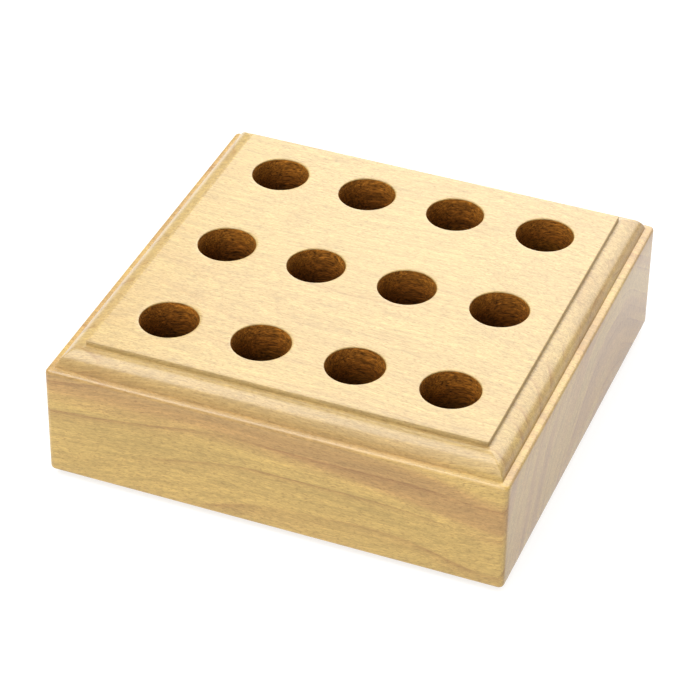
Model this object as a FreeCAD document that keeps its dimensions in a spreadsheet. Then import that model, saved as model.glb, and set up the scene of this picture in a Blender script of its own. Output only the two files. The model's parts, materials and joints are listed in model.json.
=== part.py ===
"""Tool storage caddy: a wooden bench block drilled with a grid of tool holes, on four felt feet.

Frame: +X runs along the grain to the right, +Y from front to back, +Z up. The origin is on the
surface that the caddy stands on, under the middle of the block. Millimetres.
"""
import FreeCAD, Part
import math
import os

import Sketcher

vector = FreeCAD.Vector
document = FreeCAD.newDocument("ToolCaddy")

# Driving dimensions. Each one can be changed by itself.
DIMENSIONS = {
    # the board
    "block_length": 127.0,     # along X, with the grain
    "block_depth": 125.5,      # along Y
    "block_height": 39.0,      # thickness of the board, without the feet
    "corner_radius": 1.5,      # the four upright corners, seen from above
    "base_rounding": 1.2,      # eased edge around the underside
    # the moulded edge that runs round the top
    "step_drop": 1.5,          # upright step from the top face down to the bead
    "bead_radius": 6.35,       # quarter-inch round-over cutter
    "bead_drop": 4.7,          # height of the bead, from the foot of the step to the ledge
    "ledge_width": 2.2,        # flat ledge outside the bead
    "ledge_rounding": 1.2,     # eased outer edge of the ledge
    # the tool holes
    "hole_diameter": 15.875,   # five-eighths of an inch
    "hole_floor": 10.4,        # wood left under each hole
    "hole_columns": 4,
    "hole_rows": 3,
    "column_margin": 24.4,     # from the block's side to the centre of the nearest hole
    "row_margin": 25.1,        # from the block's front or back to the centre of the nearest hole
    # the feet
    "foot_diameter": 12.7,
    "foot_thickness": 1.6,
    "foot_rounding": 0.4,      # eased edge around the foot's underside
    "foot_margin": 14.0,       # from the block's sides to a foot's centre
}

sheet = document.addObject("Spreadsheet::Sheet", "Sizes")
for row, (alias, value) in enumerate(DIMENSIONS.items(), start=1):
    sheet.set(f"A{row}", alias)
    sheet.set(f"B{row}", str(value))
    sheet.setAlias(f"B{row}", alias)
document.recompute()


# ---------------------------------------------------------------- helpers

def new_body(label):
    """An empty body whose label becomes the sub-part's file name."""
    body = document.addObject("PartDesign::Body", label)
    body.Label = label
    return body


def new_sketch(body, name, plane_role):
    """A sketch lying on one of the body's own origin planes."""
    sketch = body.newObject("Sketcher::SketchObject", name)
    plane = next(item for item in body.Origin.OriginFeatures if item.Role == plane_role)
    sketch.AttachmentSupport = [(plane, "")]
    sketch.MapMode = "FlatFace"
    document.recompute()
    return sketch


def drive(sketch, name, constraint, formula):
    """Add a named dimension to a sketch and tie it to the sheet."""
    index = sketch.addConstraint(constraint)
    sketch.renameConstraint(index, name)
    sketch.setExpression(f"Constraints.{name}", formula)


def centred_rectangle(sketch, width_formula, height_formula):
    """A rectangle centred on the sketch's origin."""
    corners = [vector(-1, -1, 0), vector(1, -1, 0), vector(1, 1, 0), vector(-1, 1, 0)]
    for start, end in zip(corners, corners[1:] + corners[:1]):
        sketch.addGeometry(Part.LineSegment(start, end), False)
    for side in range(4):
        sketch.addConstraint(Sketcher.Constraint("Coincident", side, 2, (side + 1) % 4, 1))
    for side, direction in enumerate(("Horizontal", "Vertical", "Horizontal", "Vertical")):
        sketch.addConstraint(Sketcher.Constraint(direction, side))
    sketch.addConstraint(Sketcher.Constraint("Symmetric", 0, 1, 1, 2, -1, 1))
    drive(sketch, "width", Sketcher.Constraint("DistanceX", 0, 1, 0, 2, 2.0), width_formula)
    drive(sketch, "height", Sketcher.Constraint("DistanceY", 1, 1, 1, 2, 2.0), height_formula)


def moulding_outline(sketch, side, half_width_alias):
    """The wood that the moulding takes away at one side of the block, seen end on.

    The outline goes out along the top face, down the block's side, in along the ledge, up the
    bead's arc to the foot of the step, and up the step. side is +1 or -1 and mirrors it.
    """
    half_width = getattr(sheet, half_width_alias) / 2
    top = sheet.block_height
    arc_top = top - sheet.step_drop
    arc_foot = arc_top - sheet.bead_drop
    arc_centre = arc_top - sheet.bead_radius
    arc_reach = math.sqrt(sheet.bead_radius**2 - (arc_foot - arc_centre) ** 2)
    foot_x = half_width - sheet.ledge_width
    step_x = foot_x - arc_reach

    def point(across, up):
        return vector(side * across, up, 0)

    middle_angle = (math.pi / 2 + math.asin((arc_foot - arc_centre) / sheet.bead_radius)) / 2
    arc_middle = point(step_x + sheet.bead_radius * math.cos(middle_angle),
                       arc_centre + sheet.bead_radius * math.sin(middle_angle))
    top_line = sketch.addGeometry(Part.LineSegment(point(step_x, top), point(half_width, top)))
    side_line = sketch.addGeometry(
        Part.LineSegment(point(half_width, top), point(half_width, arc_foot)))
    ledge = sketch.addGeometry(
        Part.LineSegment(point(half_width, arc_foot), point(foot_x, arc_foot)))
    bead = sketch.addGeometry(Part.Arc(point(foot_x, arc_foot), arc_middle, point(step_x, arc_top)))
    step = sketch.addGeometry(Part.LineSegment(point(step_x, arc_top), point(step_x, top)))

    # An arc runs anticlockwise in its sketch, so its first end is the ledge's on the right-hand
    # side and the step's on the left-hand side.
    bead_foot, bead_top = (1, 2) if side > 0 else (2, 1)
    for first, first_end, second, second_end in (
            (top_line, 2, side_line, 1), (side_line, 2, ledge, 1), (ledge, 2, bead, bead_foot),
            (bead, bead_top, step, 1), (step, 2, top_line, 1)):
        sketch.addConstraint(
            Sketcher.Constraint("Coincident", first, first_end, second, second_end))
    for line, direction in ((top_line, "Horizontal"), (side_line, "Vertical"),
                            (ledge, "Horizontal"), (step, "Vertical")):
        sketch.addConstraint(Sketcher.Constraint(direction, line))
    # The bead leaves the foot of the step level, so its centre is straight below.
    sketch.addConstraint(Sketcher.Constraint("Vertical", bead, 3, bead, bead_top))

    tag = "right" if side > 0 else "left"
    outward = (-1, 1, side_line, 2) if side > 0 else (side_line, 2, -1, 1)
    inward = (ledge, 2, ledge, 1) if side > 0 else (ledge, 1, ledge, 2)
    drive(sketch, f"reach_{tag}", Sketcher.Constraint("DistanceX", *outward, half_width),
          f"Sizes.{half_width_alias} / 2")
    drive(sketch, f"top_{tag}", Sketcher.Constraint("DistanceY", -1, 1, side_line, 1, top),
          "Sizes.block_height")
    drive(sketch, f"ledge_{tag}", Sketcher.Constraint("DistanceX", *inward, sheet.ledge_width),
          "Sizes.ledge_width")
    drive(sketch, f"step_{tag}", Sketcher.Constraint("DistanceY", step, 1, step, 2,
                                                     sheet.step_drop), "Sizes.step_drop")
    drive(sketch, f"bead_drop_{tag}",
          Sketcher.Constraint("DistanceY", bead, bead_foot, bead, bead_top, sheet.bead_drop),
          "Sizes.bead_drop")
    drive(sketch, f"bead_radius_{tag}", Sketcher.Constraint("Radius", bead, sheet.bead_radius),
          "Sizes.bead_radius")


def pocket_through(body, name, sketch):
    """Cut a sketch's outlines right through the body, to both sides of the sketch."""
    before = body.Shape.Volume
    pocket = body.newObject("PartDesign::Pocket", name)
    pocket.Profile = sketch
    pocket.Type = "ThroughAll"
    pocket.SideType = "Symmetric"
    document.recompute()
    if pocket.Shape.Volume >= before:
        raise RuntimeError(f"{name} removed no wood")
    return pocket


def fillet_where(body, name, base, wanted, radius_alias):
    """Round every edge of the base feature that the test function accepts."""
    edges = [f"Edge{number}" for number, edge in enumerate(base.Shape.Edges, start=1)
             if wanted(edge)]
    if not edges:
        raise RuntimeError(f"{name} found no edge to round")
    fillet = body.newObject("PartDesign::Fillet", name)
    fillet.Base = (base, edges)
    fillet.setExpression("Radius", f"Sizes.{radius_alias}")
    document.recompute()
    return fillet


# ---------------------------------------------------------------- the block

def make_block():
    """The board: moulded on all four sides, eased at its edges and drilled from above."""
    body = new_body("caddy_block")
    body.setExpression("Placement.Base.z", "Sizes.foot_thickness")

    board_sketch = new_sketch(body, "board_outline", "XY_Plane")
    centred_rectangle(board_sketch, "Sizes.block_length", "Sizes.block_depth")
    board = body.newObject("PartDesign::Pad", "board")
    board.Profile = board_sketch
    board.setExpression("Length", "Sizes.block_height")
    document.recompute()

    for plane_role, alias, name in (("XZ_Plane", "block_length", "side_moulding"),
                                    ("YZ_Plane", "block_depth", "front_and_back_moulding")):
        sketch = new_sketch(body, f"{name}_outline", plane_role)
        for side in (1, -1):
            moulding_outline(sketch, side, alias)
        moulded = pocket_through(body, name, sketch)

    ledge_height = sheet.block_height - sheet.step_drop - sheet.bead_drop
    half_length = sheet.block_length / 2
    half_depth = sheet.block_depth / 2
    tolerance = 1e-4

    def on_the_outside(edge):
        """Whether an edge lies in one of the four sides or turns one of the corners."""
        corner_cut = sheet.corner_radius
        middle = edge.valueAt((edge.FirstParameter + edge.LastParameter) / 2)
        out_x = half_length - abs(middle.x)
        out_y = half_depth - abs(middle.y)
        turns_a_corner = out_x < corner_cut and out_y < corner_cut
        return min(out_x, out_y) < tolerance or turns_a_corner

    def at_height(edge, height):
        return all(abs(corner.Point.z - height) < tolerance for corner in edge.Vertexes)

    def is_upright_corner(edge):
        box = edge.BoundBox
        return box.ZLength > box.DiagonalLength - tolerance and box.ZMin < tolerance

    corners = fillet_where(body, "corners", moulded, is_upright_corner, "corner_radius")
    ledge_edge = fillet_where(
        body, "ledge_edge", corners,
        lambda edge: on_the_outside(edge) and at_height(edge, ledge_height), "ledge_rounding")
    fillet_where(
        body, "base_edge", ledge_edge,
        lambda edge: on_the_outside(edge) and at_height(edge, 0.0), "base_rounding")

    drill_holes(body)
    return body


def drill_holes(body):
    """Blind flat-bottomed holes, spread evenly between the margins."""
    before = body.Shape.Volume
    sketch = new_sketch(body, "first_hole_centre", "XY_Plane")
    sketch.setExpression("AttachmentOffset.Base.z", "Sizes.block_height")
    circle = sketch.addGeometry(Part.Circle(vector(-10, -10, 0), vector(0, 0, 1),
                                            sheet.hole_diameter / 2))
    drive(sketch, "across", Sketcher.Constraint("DistanceX", circle, 3, -1, 1, 10.0),
          "Sizes.block_length / 2 - Sizes.column_margin")
    drive(sketch, "back", Sketcher.Constraint("DistanceY", circle, 3, -1, 1, 10.0),
          "Sizes.block_depth / 2 - Sizes.row_margin")
    drive(sketch, "bore", Sketcher.Constraint("Diameter", circle, sheet.hole_diameter),
          "Sizes.hole_diameter")
    document.recompute()

    hole = body.newObject("PartDesign::Hole", "first_hole")
    hole.Profile = sketch
    document.recompute()
    hole.ThreadType = "None"
    hole.DepthType = "Dimension"
    hole.DrillPoint = "Flat"
    hole.setExpression("Diameter", "Sizes.hole_diameter")
    hole.setExpression("Depth", "Sizes.block_height - Sizes.hole_floor")
    document.recompute()

    grid = body.newObject("PartDesign::LinearPattern", "hole_grid")
    grid.Originals = [hole]
    grid.Direction = (sketch, ["H_Axis"])
    grid.Direction2 = (sketch, ["V_Axis"])
    grid.setExpression("Length", "Sizes.block_length - 2 * Sizes.column_margin")
    grid.setExpression("Length2", "Sizes.block_depth - 2 * Sizes.row_margin")
    grid.setExpression("Occurrences", "Sizes.hole_columns")
    grid.setExpression("Occurrences2", "Sizes.hole_rows")
    body.Tip = grid
    document.recompute()

    count = sheet.hole_columns * sheet.hole_rows
    depth = sheet.block_height - sheet.hole_floor
    expected = count * math.pi * sheet.hole_diameter**2 / 4 * depth
    removed = before - body.Shape.Volume
    if abs(removed - expected) > expected / 1000:
        raise RuntimeError(f"the holes took {removed:.0f} cubic millimetres, not {expected:.0f}")


# ---------------------------------------------------------------- the feet

def make_foot(label, side, end):
    """One round felt foot. side is -1 for left, +1 for right; end is -1 for front, +1 for rear."""
    body = new_body(label)
    body.setExpression("Placement.Base.x",
                       f"{side} * (Sizes.block_length / 2 - Sizes.foot_margin)")
    body.setExpression("Placement.Base.y",
                       f"{end} * (Sizes.block_depth / 2 - Sizes.foot_margin)")

    sketch = new_sketch(body, f"{label}_outline", "XY_Plane")
    circle = sketch.addGeometry(Part.Circle(vector(0, 0, 0), vector(0, 0, 1),
                                            sheet.foot_diameter / 2))
    sketch.addConstraint(Sketcher.Constraint("Coincident", circle, 3, -1, 1))
    drive(sketch, "across", Sketcher.Constraint("Diameter", circle, sheet.foot_diameter),
          "Sizes.foot_diameter")
    disc = body.newObject("PartDesign::Pad", f"{label}_disc")
    disc.Profile = sketch
    disc.setExpression("Length", "Sizes.foot_thickness")
    document.recompute()

    fillet_where(body, f"{label}_edge", disc, lambda edge: edge.BoundBox.ZMax < 1e-4,
                 "foot_rounding")
    return body


# ---------------------------------------------------------------- build, check and write

sub_parts = [make_block()]
for end_name, end in (("front", -1), ("rear", 1)):
    for side_name, side in (("left", -1), ("right", 1)):
        sub_parts.append(make_foot(f"foot_{end_name}_{side_name}", side, end))

document.recompute()
for item in document.Objects:
    if "Invalid" in item.State or "Error" in item.State:
        raise RuntimeError(f"{item.Label} failed: {item.State}")
for part in sub_parts:
    if part.Shape.isNull() or not part.Shape.isValid():
        raise RuntimeError(f"{part.Label} has no valid shape")

os.makedirs("parts", exist_ok=True)
for part in sub_parts:
    part.Shape.exportStep(f"parts/{part.Label}.step")
    box = part.Shape.optimalBoundingBox(False)
    print(f"{part.Label}: {box.XLength:.2f} x {box.YLength:.2f} x {box.ZLength:.2f} mm, "
          f"z {box.ZMin:.2f} to {box.ZMax:.2f}, {part.Shape.Volume / 1000:.2f} cubic centimetres")
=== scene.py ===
"""Looks for the tool storage caddy: a lacquered poplar block on four felt feet, in a plain studio.

Everything is in metres, in the CAD model's own frame: +X along the grain, +Y to the back, +Z up.
"""
import json
import math

import bmesh
import bpy
import numpy as np
from mathutils import Matrix, Vector


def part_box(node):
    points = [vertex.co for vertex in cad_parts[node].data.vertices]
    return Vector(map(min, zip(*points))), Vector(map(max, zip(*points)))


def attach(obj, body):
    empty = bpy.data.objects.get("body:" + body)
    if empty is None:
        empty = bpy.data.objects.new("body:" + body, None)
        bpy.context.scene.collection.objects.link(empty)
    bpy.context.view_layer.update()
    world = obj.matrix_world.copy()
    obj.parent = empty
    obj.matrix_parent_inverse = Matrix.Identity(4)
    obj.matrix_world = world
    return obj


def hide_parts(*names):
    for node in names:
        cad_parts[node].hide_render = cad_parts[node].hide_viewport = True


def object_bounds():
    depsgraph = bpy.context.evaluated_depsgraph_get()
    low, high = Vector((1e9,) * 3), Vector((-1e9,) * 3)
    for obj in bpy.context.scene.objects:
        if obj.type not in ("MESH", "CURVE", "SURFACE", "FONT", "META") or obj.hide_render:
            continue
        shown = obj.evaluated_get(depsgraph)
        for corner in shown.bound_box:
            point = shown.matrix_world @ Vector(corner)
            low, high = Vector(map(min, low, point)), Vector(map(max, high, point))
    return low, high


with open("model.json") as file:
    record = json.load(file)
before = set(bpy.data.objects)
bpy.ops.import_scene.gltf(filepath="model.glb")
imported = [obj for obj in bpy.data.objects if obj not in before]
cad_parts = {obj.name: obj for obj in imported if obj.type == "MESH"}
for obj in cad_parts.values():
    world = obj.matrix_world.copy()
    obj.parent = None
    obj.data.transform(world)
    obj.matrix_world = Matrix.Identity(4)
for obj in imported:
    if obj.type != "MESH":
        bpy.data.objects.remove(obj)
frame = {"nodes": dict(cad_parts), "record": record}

CAD_BOX = [list(corner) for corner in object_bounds()]
MM = 0.001

# ---------------------------------------------------------------- sizes

BLOCK_LOW, BLOCK_HIGH = (np.array(corner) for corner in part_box("caddy_block"))
BLOCK_CENTRE = (BLOCK_LOW + BLOCK_HIGH) / 2
HALF_LENGTH, HALF_DEPTH = (BLOCK_HIGH - BLOCK_LOW)[:2] / 2
BLOCK_BASE, BLOCK_TOP = BLOCK_LOW[2], BLOCK_HIGH[2]

CORNER_RADIUS = 1.5 * MM      # upright corners, seen from above
MITRE_RADIUS = 0.3 * MM       # sanded mitre of the moulding
BASE_ROUNDING = 1.2 * MM
STEP_DROP = 1.5 * MM          # from the top face down to the bead
BEAD_RADIUS = 6.35 * MM       # quarter-inch round-over
BEAD_DROP = 4.7 * MM
LEDGE_WIDTH = 2.2 * MM
LEDGE_ROUNDING = 1.2 * MM
EASED_EDGE = 0.25 * MM        # what sandpaper leaves of a sharp edge

# The record's openings are one square prism inside each round hole, so they give the holes' places.
OPENINGS = np.array([opening["box_m"] for opening in frame["record"]["physics"]["openings"]])
HOLE_CENTRES = np.unique(np.round(OPENINGS.mean(axis=1)[:, :2], 6), axis=0)
HOLE_RADIUS = 15.875 / 2 * MM
HOLE_DEPTH = 28.6 * MM
RIM_ROUNDING = 0.3 * MM       # softened mouth of a hole
SCORE_DEPTH = 0.25 * MM       # ring that the cutter's rim scores in the hole's floor
SCORE_WIDTH = 0.5 * MM
SPUR_RADIUS = 1.3 * MM        # mark of the cutter's centre point
SPUR_DEPTH = 1.2 * MM

FELT_WEAR = 0.7 * MM          # radius worn on a foot's lower edge
FELT_SQUEEZE = 0.15 * MM      # how far the glued face draws in

WELD = 0.001 * MM             # points closer than this are one point
PLANED, BORED = 0, 1          # material numbers of the block
CELL_STEPS = 24               # faces along one side of the square of top surface around a hole
CORNER_STEPS = 6              # faces round an upright corner
MOUTH_STEPS = 4               # faces over the rounded mouth of a hole


# ---------------------------------------------------------------- meshes

def arc(centre, radius, start, end, steps):
    """Points on a circle: centre + radius * (cos, sin) of the angles from start to end, in degrees."""
    angle = np.radians(np.linspace(start, end, steps + 1))
    return np.column_stack((centre[0] + radius * np.cos(angle), centre[1] + radius * np.sin(angle)))


def build_mesh(name, patches):
    """One closed mesh from patches, each a grid of points (rows, columns, 3) and a material number.

    Seen from outside, a patch's columns run to the right when its rows run up. Points that
    coincide are welded, so patches join and a row may shrink to a single point.
    """
    points, quads, numbers, count = [], [], [], 0
    for grid, material in patches:
        index = np.arange(grid.shape[0] * grid.shape[1]).reshape(grid.shape[:2]) + count
        quad = np.stack((index[:-1, :-1], index[:-1, 1:], index[1:, 1:], index[1:, :-1]), axis=-1)
        quads.append(quad.reshape(-1, 4))
        numbers.append(np.full(len(quads[-1]), material))
        points.append(grid.reshape(-1, 3))
        count += index.size

    mesh = bpy.data.meshes.new(name)
    mesh.from_pydata(np.concatenate(points), [], np.concatenate(quads))
    mesh.polygons.foreach_set("material_index", np.concatenate(numbers))
    welded = bmesh.new()
    welded.from_mesh(mesh)
    bmesh.ops.remove_doubles(welded, verts=welded.verts, dist=WELD)
    welded.to_mesh(mesh)
    welded.free()
    mesh.polygons.foreach_set("use_smooth", np.ones(len(mesh.polygons), dtype=bool))
    return mesh


def new_piece(name, mesh, materials):
    """An object at the origin that rides on the caddy's one body."""
    piece = bpy.data.objects.new(name, mesh)
    bpy.context.scene.collection.objects.link(piece)
    for material in materials:
        mesh.materials.append(material)
    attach(piece, "root")
    return piece


# ---------------------------------------------------------------- the block's shape

def moulding_profile():
    """The block's edge from the underside round to the top face, as rows of
    (inset from the side, height, radius of the upright corner at that row).

    In order: the eased base edge, the upright side, the ledge's eased edge, the ledge, the bead,
    which is an arc that ends level at the foot of the step, the step, and the top's eased edge.
    """
    ledge = BLOCK_TOP - STEP_DROP - BEAD_DROP
    bead_centre = BLOCK_TOP - STEP_DROP - BEAD_RADIUS
    foot_angle = math.degrees(math.asin((ledge - bead_centre) / BEAD_RADIUS))
    step = LEDGE_WIDTH + BEAD_RADIUS * math.cos(math.radians(foot_angle))

    base = arc((BASE_ROUNDING, BLOCK_BASE + BASE_ROUNDING), BASE_ROUNDING, -90, -180, 6)
    side_heights = np.linspace(BLOCK_BASE + BASE_ROUNDING, ledge - LEDGE_ROUNDING, 9)[1:-1]
    side = np.column_stack((np.zeros_like(side_heights), side_heights))
    ledge_edge = arc((LEDGE_ROUNDING, ledge - LEDGE_ROUNDING), LEDGE_ROUNDING, 180, 90, 6)
    bead = arc((step, bead_centre), BEAD_RADIUS, 180 - foot_angle, 90, 18)
    top_edge = arc((step + EASED_EDGE, BLOCK_TOP - EASED_EDGE), EASED_EDGE, 180, 90, 4)
    support = 4 * EASED_EDGE
    rows = np.vstack(([CORNER_RADIUS, BLOCK_BASE], base, side, ledge_edge, bead, top_edge,
                      [step + support, BLOCK_TOP]))

    inset = rows[:, 0]
    radius = np.interp(inset, [LEDGE_ROUNDING, LEDGE_WIDTH],
                       [CORNER_RADIUS - LEDGE_ROUNDING, MITRE_RADIUS])
    on_side = inset < LEDGE_ROUNDING + 1e-9
    radius[on_side] = CORNER_RADIUS - inset[on_side]
    near_base = rows[:, 1] < BLOCK_BASE + BASE_ROUNDING
    radius[near_base] = CORNER_RADIUS - inset[near_base]
    radius[-1] = 0.0
    return np.column_stack((rows, radius))


def cell_edges(centres, half):
    """Where the top face is divided along one axis: at its ends and midway between holes."""
    centres = np.unique(np.round(centres, 6))
    return np.concatenate(([-half], (centres[:-1] + centres[1:]) / 2, [half]))


def side_steps(edges):
    """Places from 0 to 1 along a side, evenly spaced within each cell."""
    stretches = [np.linspace(low, high, CELL_STEPS, endpoint=False)
                 for low, high in zip(edges[:-1], edges[1:])]
    places = np.append(np.concatenate(stretches), edges[-1])
    return (places - edges[0]) / (edges[-1] - edges[0])


def ring(half_x, half_y, radius, height, steps_x, steps_y):
    """A rectangle with round corners, anticlockwise from the left end of its front side."""
    run_x, run_y = half_x - radius, half_y - radius
    along_x = (2 * steps_x - 1) * run_x
    along_y = (2 * steps_y - 1) * run_y
    turn = np.radians(np.linspace(0, 90, CORNER_STEPS + 1))[1:-1]
    sides = (np.column_stack((along_x, np.full_like(along_x, -half_y))),
             np.column_stack((np.full_like(along_y, half_x), along_y)),
             np.column_stack((along_x[::-1], np.full_like(along_x, half_y))),
             np.column_stack((np.full_like(along_y, -half_x), along_y[::-1])))
    corners = ((run_x, -run_y, -90), (run_x, run_y, 0), (-run_x, run_y, 90), (-run_x, -run_y, 180))
    loop = []
    for side, (x, y, start) in zip(sides, corners):
        angle = turn + math.radians(start)
        loop += [side, np.column_stack((x + radius * np.cos(angle), y + radius * np.sin(angle)))]
    loop = np.vstack(loop + [sides[0][:1]]) + BLOCK_CENTRE[:2]
    return np.column_stack((loop, np.full(len(loop), height)))


def hole_profile():
    """A hole from its rounded mouth down to the middle of its floor, as (radius, height) rows.

    The cutter leaves a scored ring against the wall and a cone where its point went in.
    """
    floor = BLOCK_TOP - HOLE_DEPTH
    mouth = arc((HOLE_RADIUS + RIM_ROUNDING, BLOCK_TOP - RIM_ROUNDING), RIM_ROUNDING, 90, 180,
                MOUTH_STEPS)
    wall_heights = np.linspace(BLOCK_TOP - RIM_ROUNDING, floor, 12)[1:]
    wall = np.column_stack((np.full_like(wall_heights, HOLE_RADIUS), wall_heights))
    bottom = [(HOLE_RADIUS, floor - SCORE_DEPTH), (HOLE_RADIUS - SCORE_WIDTH, floor),
              (HOLE_RADIUS * 0.6, floor), (SPUR_RADIUS, floor), (0.0, floor - SPUR_DEPTH)]
    return np.vstack((mouth, wall, bottom))


def square_to_hole(low, high, centre):
    """The top face around one hole: each point goes straight from the cell's outline to the
    mouth's circle, so the rows between are a blend of the square and the circle."""
    side = np.linspace(0, 1, CELL_STEPS, endpoint=False)
    x = low[0] + (high[0] - low[0]) * np.concatenate((side, side * 0 + 1, 1 - side, side * 0))
    y = low[1] + (high[1] - low[1]) * np.concatenate((side * 0, side, side * 0 + 1, 1 - side))
    angle = np.radians(-135 + 90 * np.arange(4 * CELL_STEPS) / CELL_STEPS)
    outline = np.column_stack((x, y))
    circle = centre + (HOLE_RADIUS + RIM_ROUNDING) * np.column_stack((np.cos(angle), np.sin(angle)))
    blend = np.array([0.0, 0.35, 0.6, 0.8, 0.92, 1.0])[:, None, None]
    rows = outline * (1 - blend) + circle * blend
    rows = np.concatenate((rows, rows[:, :1]), axis=1)
    return np.dstack((rows, np.full(rows.shape[:2], BLOCK_TOP))), angle


def turned(profile, centre, angle):
    """A profile of (radius, height) rows carried round an upright axis."""
    angle = np.append(angle, angle[0])
    across = profile[:, :1, None] * np.stack((np.cos(angle), np.sin(angle)), axis=-1)
    height = np.broadcast_to(profile[:, 1:], (len(profile), len(angle)))
    return np.dstack((across + centre, height))


def block_mesh():
    """The whole block: the moulded skin, the top around each hole, the holes and the underside."""
    profile = moulding_profile()
    top_half = np.array([HALF_LENGTH, HALF_DEPTH]) - profile[-1, 0]
    holes = HOLE_CENTRES - BLOCK_CENTRE[:2]
    edges_x = cell_edges(holes[:, 0], top_half[0])
    edges_y = cell_edges(holes[:, 1], top_half[1])
    steps_x, steps_y = side_steps(edges_x), side_steps(edges_y)

    skin = np.stack([ring(HALF_LENGTH - inset, HALF_DEPTH - inset, radius, height,
                          steps_x, steps_y) for inset, height, radius in profile])
    patches = [(skin, PLANED)]
    for centre in holes:
        column = np.searchsorted(edges_x, centre[0]) - 1
        row = np.searchsorted(edges_y, centre[1]) - 1
        low = np.array([edges_x[column], edges_y[row]]) + BLOCK_CENTRE[:2]
        high = np.array([edges_x[column + 1], edges_y[row + 1]]) + BLOCK_CENTRE[:2]
        cell, angle = square_to_hole(low, high, centre + BLOCK_CENTRE[:2])
        patches.append((cell, PLANED))
        bored = turned(hole_profile(), centre + BLOCK_CENTRE[:2], angle)
        patches += [(bored[:MOUTH_STEPS + 1], PLANED), (bored[MOUTH_STEPS:], BORED)]

    base_half = np.array([HALF_LENGTH, HALF_DEPTH]) - profile[0, 0]
    x = BLOCK_CENTRE[0] + (2 * steps_x - 1) * base_half[0]
    y = BLOCK_CENTRE[1] + (2 * steps_y - 1)[::-1] * base_half[1]
    underside = np.stack(np.meshgrid(x, y), axis=-1)
    patches.append((np.dstack((underside, np.full(underside.shape[:2], BLOCK_BASE))), PLANED))
    return build_mesh("wood_block", patches)


# ---------------------------------------------------------------- the feet's shape

def foot_mesh(name, low, high):
    """A pressed felt disc: a (radius, height) profile carried round, from the middle of the
    underside out over its worn, quarter-round lower edge and up its side, which narrows a
    little to the glued face above."""
    centre = (low[:2] + high[:2]) / 2
    radius = (high[0] - low[0]) / 2
    worn = arc((radius - FELT_WEAR, low[2] + FELT_WEAR), FELT_WEAR, -90, 0, 8)
    glued = [(radius - FELT_SQUEEZE / 3, (low[2] + FELT_WEAR + high[2]) / 2),
             (radius - FELT_SQUEEZE, high[2])]
    profile = np.vstack(([0.0, low[2]], [radius * 0.5, low[2]], worn, glued,
                         [radius * 0.5, high[2]], [0.0, high[2]]))
    angle = np.linspace(0, 2 * math.pi, 64, endpoint=False)
    return build_mesh(name, [(turned(profile, centre, angle), 0)])


# ---------------------------------------------------------------- materials

def colour(code):
    """Linear colour from an sRGB hex code such as D8B173."""
    channels = [int(code[i:i + 2], 16) / 255 for i in (0, 2, 4)]
    return [c / 12.92 if c <= 0.04045 else ((c + 0.055) / 1.055) ** 2.4 for c in channels] + [1.0]


def grey(level):
    """A ramp's level, as the colour that its stop holds."""
    return [level, level, level, 1.0]


def add(tree, kind, inputs=None, out=0, stops=None, **settings):
    """Add a node and return its output. inputs maps a socket's name or number to a value or to
    another node's output; stops are the (place, colour) pairs of a colour ramp, the two that
    a new ramp already has coming first."""
    node = tree.nodes.new(kind)
    for name, value in settings.items():
        setattr(node, name, value)
    for socket, value in (inputs or {}).items():
        if isinstance(value, bpy.types.NodeSocket):
            tree.links.new(value, node.inputs[socket])
        else:
            node.inputs[socket].default_value = value
    for number, (place, shade) in enumerate(stops or []):
        ramp = node.color_ramp.elements
        element = ramp[number] if number < 2 else ramp.new(place)
        element.position, element.color = place, shade
    return node.outputs[out] if node.outputs else node


# A point on the tree's heart, level with the block's right-hand end, and how the heart leans.
PITH = (HALF_LENGTH, 24 * MM, BLOCK_BASE - 30 * MM)
PITH_RISE = math.radians(5.5)
SAPWOOD_AND_PAINTED_SHEEN = (BLOCK_TOP - 9 * MM, BLOCK_TOP - 2 * MM)      # heights over which the wood turns pale towards the top: partly sapwood, partly painted sheen
PLAINER_AND_PAINTED_SHEEN = (BLOCK_TOP - 3 * MM, BLOCK_TOP - 0.5 * MM)    # heights over which the rings grow faint towards the top: partly plainer wood, partly painted sheen
PAINTED_HOLE_SHADE_HEIGHTS = (BLOCK_TOP - 13 * MM, BLOCK_TOP)             # heights over which painted shade darkens a hole's wall, deeper is darker

# The figure's sizes in millimetres, which is the unit of the tree's own space.
RING_WIDTH = 5.2
UP_THE_TRUNK = 150            # which stretch of the trunk the board was cut from
WANDER = 14                   # how far the rings stray from true circles
STAIN_RINGS = 8               # how far apart, across the rings, two stains are
# The size of one blotch of each noise, along and across the grain.
WANDER_SIZE = (75, 60)
STAIN_SIZE = (110, 60)
RING_PATCH_SIZE = (55, 6)
STREAK_SIZE = (24, 1.0)
FIBRE_SIZE = (2, 0.38)
PORE_SIZE = (1, 0.3)


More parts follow.
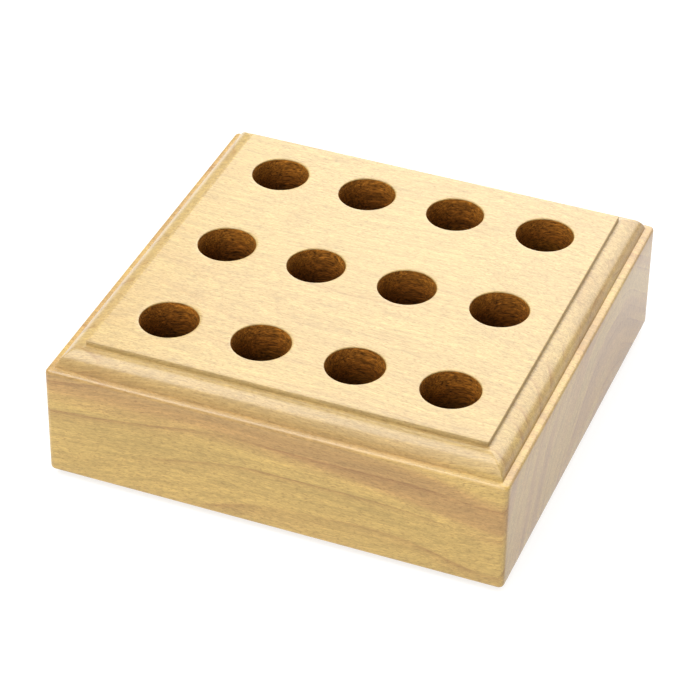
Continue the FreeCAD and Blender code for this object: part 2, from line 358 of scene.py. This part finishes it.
def wood_pattern(tree):
    """Poplar's figure in the tree's own space, in millimetres: (base colour, late wood, coarse
    streaks, fine fibres, pores).

    X runs up the trunk and the growth rings are circles round it. Everything is stretched along
    X: slow stains, then rings, then fibres. On an end cut the same fibres show as specks.
    """
    vector_math, plain_math, noise = "ShaderNodeVectorMath", "ShaderNodeMath", "ShaderNodeTexNoise"
    place = add(tree, "ShaderNodeTexCoord", out="Object")
    trunk = add(tree, "ShaderNodeMapping", {"Vector": place, "Location": PITH,
                                            "Rotation": (0, -PITH_RISE, 0), "Scale": (MM, MM, MM)},
                vector_type="TEXTURE")

    def stretched(source, size):
        """The place scaled so that one unit is this size along and across the grain."""
        along, across = size
        return add(tree, vector_math, {0: source, 1: (1 / along, 1 / across, 1 / across)},
                   operation="MULTIPLY")

    # the trunk isn't straight: its rings wander by a few millimetres
    wander = add(tree, noise, {"Vector": stretched(trunk, WANDER_SIZE), "Detail": 1.5, "Scale": 1.0,
                               "Roughness": 0.4}, out="Color")
    wander = add(tree, vector_math, {0: wander, 1: (0.5, 0.5, 0.5)}, operation="SUBTRACT")
    bent = add(tree, vector_math, {0: wander, 1: (0, WANDER, WANDER), 2: trunk},
               operation="MULTIPLY_ADD")
    bent = add(tree, vector_math, {0: bent, 1: (UP_THE_TRUNK, 0, 0)}, operation="ADD")
    across = add(tree, vector_math, {0: bent, 1: (0, 1, 1)}, operation="MULTIPLY")
    radius = add(tree, vector_math, {0: across}, out="Value", operation="LENGTH")

    # rings of uneven width: late wood darkens slowly and ends sharply, stronger here and there
    years = add(tree, plain_math, {0: radius, 1: RING_WIDTH}, operation="DIVIDE")
    uneven = add(tree, noise, {"W": years, "Scale": 0.6, "Detail": 1.0}, noise_dimensions="1D")
    years = add(tree, plain_math, {0: uneven, 1: 1.6, 2: years}, operation="MULTIPLY_ADD")
    season = add(tree, plain_math, {0: years}, operation="FRACT")
    late = add(tree, "ShaderNodeValToRGB", {"Fac": season}, stops=[
        (0.0, grey(0.5)), (0.97, grey(1.0)), (0.05, grey(0.0)), (0.55, grey(0.10)),
        (0.88, grey(0.45))])
    patch = add(tree, noise, {"Vector": stretched(bent, RING_PATCH_SIZE), "Detail": 2.0, "Scale": 1.0,
                              "Roughness": 0.5})
    strength = add(tree, "ShaderNodeMapRange", {"Value": patch, "From Min": 0.38,
                                                "From Max": 0.62, "To Min": 0.1})
    late = add(tree, plain_math, {0: late, 1: strength}, operation="MULTIPLY")

    # stains that follow the rings: pinkish tan, golden sapwood and the olive of poplar's heart; then a
    # pale band towards the top, partly sapwood and partly painted sheen
    stain_place = add(tree, "ShaderNodeCombineXYZ", {"X": radius})
    stain_place = add(tree, vector_math, {0: stain_place, 1: (1 / STAIN_RINGS, 0, 0),
                                          2: stretched(bent, STAIN_SIZE)},
                      operation="MULTIPLY_ADD")
    stain = add(tree, noise, {"Vector": stain_place, "Detail": 2.5, "Scale": 1.0,
                              "Roughness": 0.5})
    base = add(tree, "ShaderNodeValToRGB", {"Fac": stain}, stops=[
        (0.34, colour("A8834C")), (0.68, colour("B69753")), (0.43, colour("B28B50")),
        (0.54, colour("BE9D57"))])
    height = add(tree, "ShaderNodeSeparateXYZ", {0: place}, out="Z")
    # painted sheen: paler, creamier colour towards the top face, partly sapwood and partly standing in
    # for the top's sheen
    sapwood_and_sheen = add(tree, "ShaderNodeMapRange", {"Value": height, "From Min": SAPWOOD_AND_PAINTED_SHEEN[0],
                                               "From Max": SAPWOOD_AND_PAINTED_SHEEN[1], "To Max": 0.8})
    base = add(tree, "ShaderNodeMix", {0: sapwood_and_sheen, 6: base, 7: colour("AE9560")}, out=2,
               data_type="RGBA")
    # painted sheen: the rings fade towards the top face, partly plainer wood and partly the
    # washing-out of a sheen
    plainer_and_sheen = add(tree, "ShaderNodeMapRange", {"Value": height, "From Min": PLAINER_AND_PAINTED_SHEEN[0],
                                               "From Max": PLAINER_AND_PAINTED_SHEEN[1], "To Min": 1.0,
                                               "To Max": 0.35})
    late = add(tree, plain_math, {0: late, 1: plainer_and_sheen}, operation="MULTIPLY")

    # fibres along the grain, fine ones and coarser streaks, and the mouths of the pores
    fibre = add(tree, noise, {"Vector": stretched(bent, FIBRE_SIZE), "Detail": 3.0, "Scale": 1.0,
                              "Roughness": 0.7})
    streak = add(tree, noise, {"Vector": stretched(bent, STREAK_SIZE), "Detail": 3.0, "Scale": 1.0,
                               "Roughness": 0.6})
    pore = add(tree, noise, {"Vector": stretched(bent, PORE_SIZE), "Detail": 1.0, "Scale": 1.0})
    pore = add(tree, "ShaderNodeMapRange", {"Value": pore, "From Min": 0.56, "From Max": 0.72})
    return base, late, streak, fibre, pore


def end_cut_share(tree):
    """How far a surface cuts across the fibres: 0 along the grain and 1 on an end cut."""
    facing = add(tree, "ShaderNodeTexCoord", out="Normal")
    facing = add(tree, "ShaderNodeSeparateXYZ", {0: facing}, out="X")
    facing = add(tree, "ShaderNodeMath", {0: facing}, operation="ABSOLUTE")
    return add(tree, "ShaderNodeMapRange", {"Value": facing, "From Min": 0.7, "From Max": 0.98},
               interpolation_type="SMOOTHSTEP")


def lacquered_poplar():
    """Yellow poplar, planed, sanded and sprayed with clear satin lacquer: a soft even sheen over
    warm figure of low contrast, with greyer, speckled end cuts."""
    material = bpy.data.materials.new("poplar_clear_satin_lacquer")
    material.use_nodes = True
    tree = material.node_tree
    tree.nodes.clear()
    base, late, streak, fibre, pore = wood_pattern(tree)
    end_cut = end_cut_share(tree)

    ink = add(tree, "ShaderNodeMath", {0: late, 1: 0.6}, operation="MULTIPLY")
    shade = add(tree, "ShaderNodeMix", {0: ink, 6: base, 7: colour("8A5F34")}, out=2,
                data_type="RGBA")
    tint = add(tree, "ShaderNodeMapRange", {"Value": streak, "From Min": 0.3, "From Max": 0.7,
                                            "To Min": 0.84, "To Max": 1.12})
    shade = add(tree, "ShaderNodeVectorMath", {0: shade, 1: tint}, operation="MULTIPLY")
    tint = add(tree, "ShaderNodeMapRange", {"Value": fibre, "From Min": 0.3, "From Max": 0.7,
                                            "To Min": 0.77, "To Max": 1.20})
    shade = add(tree, "ShaderNodeVectorMath", {0: shade, 1: tint}, operation="MULTIPLY")
    ink = add(tree, "ShaderNodeMath", {0: pore, 1: 0.46}, operation="MULTIPLY")
    shade = add(tree, "ShaderNodeMix", {0: ink, 6: shade, 7: colour("7A572C")}, out=2,
                data_type="RGBA")
    greyed = add(tree, "ShaderNodeVectorMath", {0: shade, 1: (0.80, 0.75, 0.61)},
                 operation="MULTIPLY")
    shade = add(tree, "ShaderNodeMix", {0: end_cut, 6: shade, 7: greyed}, out=2,
                data_type="RGBA")

    relief = add(tree, "ShaderNodeMath", {0: fibre, 1: 1.0, 2: streak}, operation="MULTIPLY_ADD")
    bump = add(tree, "ShaderNodeBump", {"Height": relief, "Strength": 0.3,
                                        "Distance": 0.03 * MM})
    shader = add(tree, "ShaderNodeBsdfPrincipled", {
        "Base Color": shade, "Roughness": 0.5, "IOR": 1.3, "Normal": bump, "Coat Weight": 0.7,
        "Coat Roughness": 0.2, "Coat IOR": 1.5})
    add(tree, "ShaderNodeOutputMaterial", {"Surface": shader})
    return material


def bored_poplar():
    """The same poplar where a cutter bored it: torn fibres that drank the lacquer and turned
    brown, with painted shade that darkens the wall with depth, and roughest where the wall runs across
    the grain."""
    material = bpy.data.materials.new("poplar_bored_lacquer_soaked")
    material.use_nodes = True
    tree = material.node_tree
    tree.nodes.clear()
    base, _, streak, fibre, pore = wood_pattern(tree)
    end_cut = end_cut_share(tree)

    place = add(tree, "ShaderNodeTexCoord", out="Object")
    height = add(tree, "ShaderNodeSeparateXYZ", {0: place}, out="Z")
    # painted shade: the wall's colour darkens towards the hole's floor, down to a tenth at 13 mm deep
    painted_hole_shade = add(tree, "ShaderNodeMapRange", {"Value": height, "From Min": PAINTED_HOLE_SHADE_HEIGHTS[0],
                                              "From Max": PAINTED_HOLE_SHADE_HEIGHTS[1], "To Min": 0.1})
    shade = add(tree, "ShaderNodeVectorMath", {0: base, 1: (0.74, 0.41, 0.15)},
                operation="MULTIPLY")
    shade = add(tree, "ShaderNodeVectorMath", {0: shade, 1: painted_hole_shade}, operation="MULTIPLY")
    tint = add(tree, "ShaderNodeMapRange", {"Value": streak, "From Min": 0.3, "From Max": 0.7,
                                            "To Min": 0.55, "To Max": 1.3})
    shade = add(tree, "ShaderNodeVectorMath", {0: shade, 1: tint}, operation="MULTIPLY")
    tint = add(tree, "ShaderNodeMapRange", {"Value": fibre, "From Min": 0.3, "From Max": 0.7,
                                            "To Min": 0.1, "To Max": 2.1})
    shade = add(tree, "ShaderNodeVectorMath", {0: shade, 1: tint}, operation="MULTIPLY")
    ink = add(tree, "ShaderNodeMath", {0: pore, 1: end_cut}, operation="MULTIPLY")
    shade = add(tree, "ShaderNodeMix", {0: ink, 6: shade, 7: colour("321A08")}, out=2,
                data_type="RGBA")
    relief = add(tree, "ShaderNodeMath", {0: fibre, 1: 1.0, 2: streak}, operation="MULTIPLY_ADD")
    bump = add(tree, "ShaderNodeBump", {"Height": relief, "Strength": 0.9, "Distance": 0.3 * MM})
    shader = add(tree, "ShaderNodeBsdfPrincipled", {
        "Base Color": shade, "Roughness": 0.6, "IOR": 1.2, "Normal": bump})
    add(tree, "ShaderNodeOutputMaterial", {"Surface": shader})
    return material


def pressed_felt():
    """Brown wool felt, pressed and die-cut: matt and slightly fuzzy, with flecks of lighter
    fibre about 0.3 mm across."""
    material = bpy.data.materials.new("wool_felt_pressed")
    material.use_nodes = True
    tree = material.node_tree
    tree.nodes.clear()
    place = add(tree, "ShaderNodeTexCoord", out="Object")
    fleck = add(tree, "ShaderNodeTexNoise", {"Vector": place, "Scale": 1 / (0.3 * MM),
                                             "Detail": 3.0, "Distortion": 1.5})
    shade = add(tree, "ShaderNodeValToRGB", {"Fac": fleck}, stops=[
        (0.35, colour("4A3A2C")), (0.72, colour("8B755D")), (0.5, colour("5F4C3A"))])
    bump = add(tree, "ShaderNodeBump", {"Height": fleck, "Strength": 0.8, "Distance": 0.2 * MM})
    shader = add(tree, "ShaderNodeBsdfPrincipled", {
        "Base Color": shade, "Roughness": 0.95, "Normal": bump, "Sheen Weight": 0.4,
        "Sheen Roughness": 0.5})
    add(tree, "ShaderNodeOutputMaterial", {"Surface": shader})
    return material


# ---------------------------------------------------------------- the caddy

block = new_piece("wood_block", block_mesh(), [lacquered_poplar(), bored_poplar()])
block.data.set_sharp_from_angle(angle=math.radians(40))
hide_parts("caddy_block")

felt = pressed_felt()
for node in sorted(name for name in frame["nodes"] if name.startswith("foot_")):
    low, high = (np.array(corner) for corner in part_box(node))
    foot = new_piece(f"felt_{node}", foot_mesh(f"felt_{node}", low, high), [felt])
    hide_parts(node)


# ---------------------------------------------------------------- the studio

CAMERA_AZIMUTH = math.radians(20.96)     # to the right of straight in front
CAMERA_ELEVATION = math.radians(36.56)
CAMERA_ROLL = math.radians(1.02)
CAMERA_DISTANCE = 0.7638                 # metres
CAMERA_LENS = 145.9                      # mm, on a 36 mm wide sensor
AIM = Vector((0.0, -0.0074, (BLOCK_BASE + BLOCK_TOP) / 2))


def pointing(azimuth, elevation):
    """The direction from the object to something at this azimuth from the front and elevation."""
    return Vector((math.sin(azimuth) * math.cos(elevation),
                   -math.cos(azimuth) * math.cos(elevation), math.sin(elevation)))


def add_camera():
    data = bpy.data.cameras.new("camera")
    data.lens, data.sensor_width = CAMERA_LENS, 36
    camera = bpy.data.objects.new("camera", data)
    towards = pointing(CAMERA_AZIMUTH, CAMERA_ELEVATION)
    turn = towards.to_track_quat("Z", "Y").to_matrix().to_4x4()
    camera.matrix_world = (Matrix.Translation(AIM + towards * CAMERA_DISTANCE) @ turn
                           @ Matrix.Rotation(CAMERA_ROLL, 4, "Z"))
    bpy.context.scene.collection.objects.link(camera)
    bpy.context.scene.camera = camera


def add_softbox(name, azimuth, elevation, distance, size, power):
    """A square diffused lamp that faces the object: degrees, metres and watts."""
    data = bpy.data.lights.new(name, "AREA")
    data.shape, data.size, data.energy = "SQUARE", size, power
    lamp = bpy.data.objects.new(name, data)
    towards = pointing(math.radians(azimuth), math.radians(elevation))
    lamp.matrix_world = (Matrix.Translation(AIM + towards * distance)
                         @ towards.to_track_quat("Z", "Y").to_matrix().to_4x4())
    bpy.context.scene.collection.objects.link(lamp)


def add_floor():
    mesh = bpy.data.meshes.new("floor")
    half, low = 4.0, CAD_BOX[0][2]
    mesh.from_pydata([(-half, -half, low), (half, -half, low), (half, half, low),
                      (-half, half, low)], [], [(0, 1, 2, 3)])
    floor = bpy.data.objects.new("floor", mesh)
    bpy.context.scene.collection.objects.link(floor)
    material = bpy.data.materials.new("studio_table_white_lit")
    material.use_nodes = True
    tree = material.node_tree
    tree.nodes.clear()
    shader = add(tree, "ShaderNodeBsdfPrincipled", {
        "Base Color": colour("969696"), "Roughness": 0.9, "Emission Color": colour("FFFFFF"),
        "Emission Strength": 0.72})
    add(tree, "ShaderNodeOutputMaterial", {"Surface": shader})
    mesh.materials.append(material)


def add_daylight():
    """Even white light from all round."""
    world = bpy.data.worlds.new("studio")
    bpy.context.scene.world = world
    world.use_nodes = True
    tree = world.node_tree
    tree.nodes.clear()
    light = add(tree, "ShaderNodeBackground", {"Color": colour("FFFFFF"), "Strength": 0.3})
    add(tree, "ShaderNodeOutputWorld", {"Surface": light})


add_camera()
add_floor()
add_daylight()
add_softbox("rear", 172, 36, 1.6, 1.8, 39.5)
add_softbox("overhead", 300, 63, 1.6, 1.2, 28)
add_softbox("front", 8, 35, 1.6, 1.2, 12)
bpy.context.scene.view_settings.view_transform = "Standard"
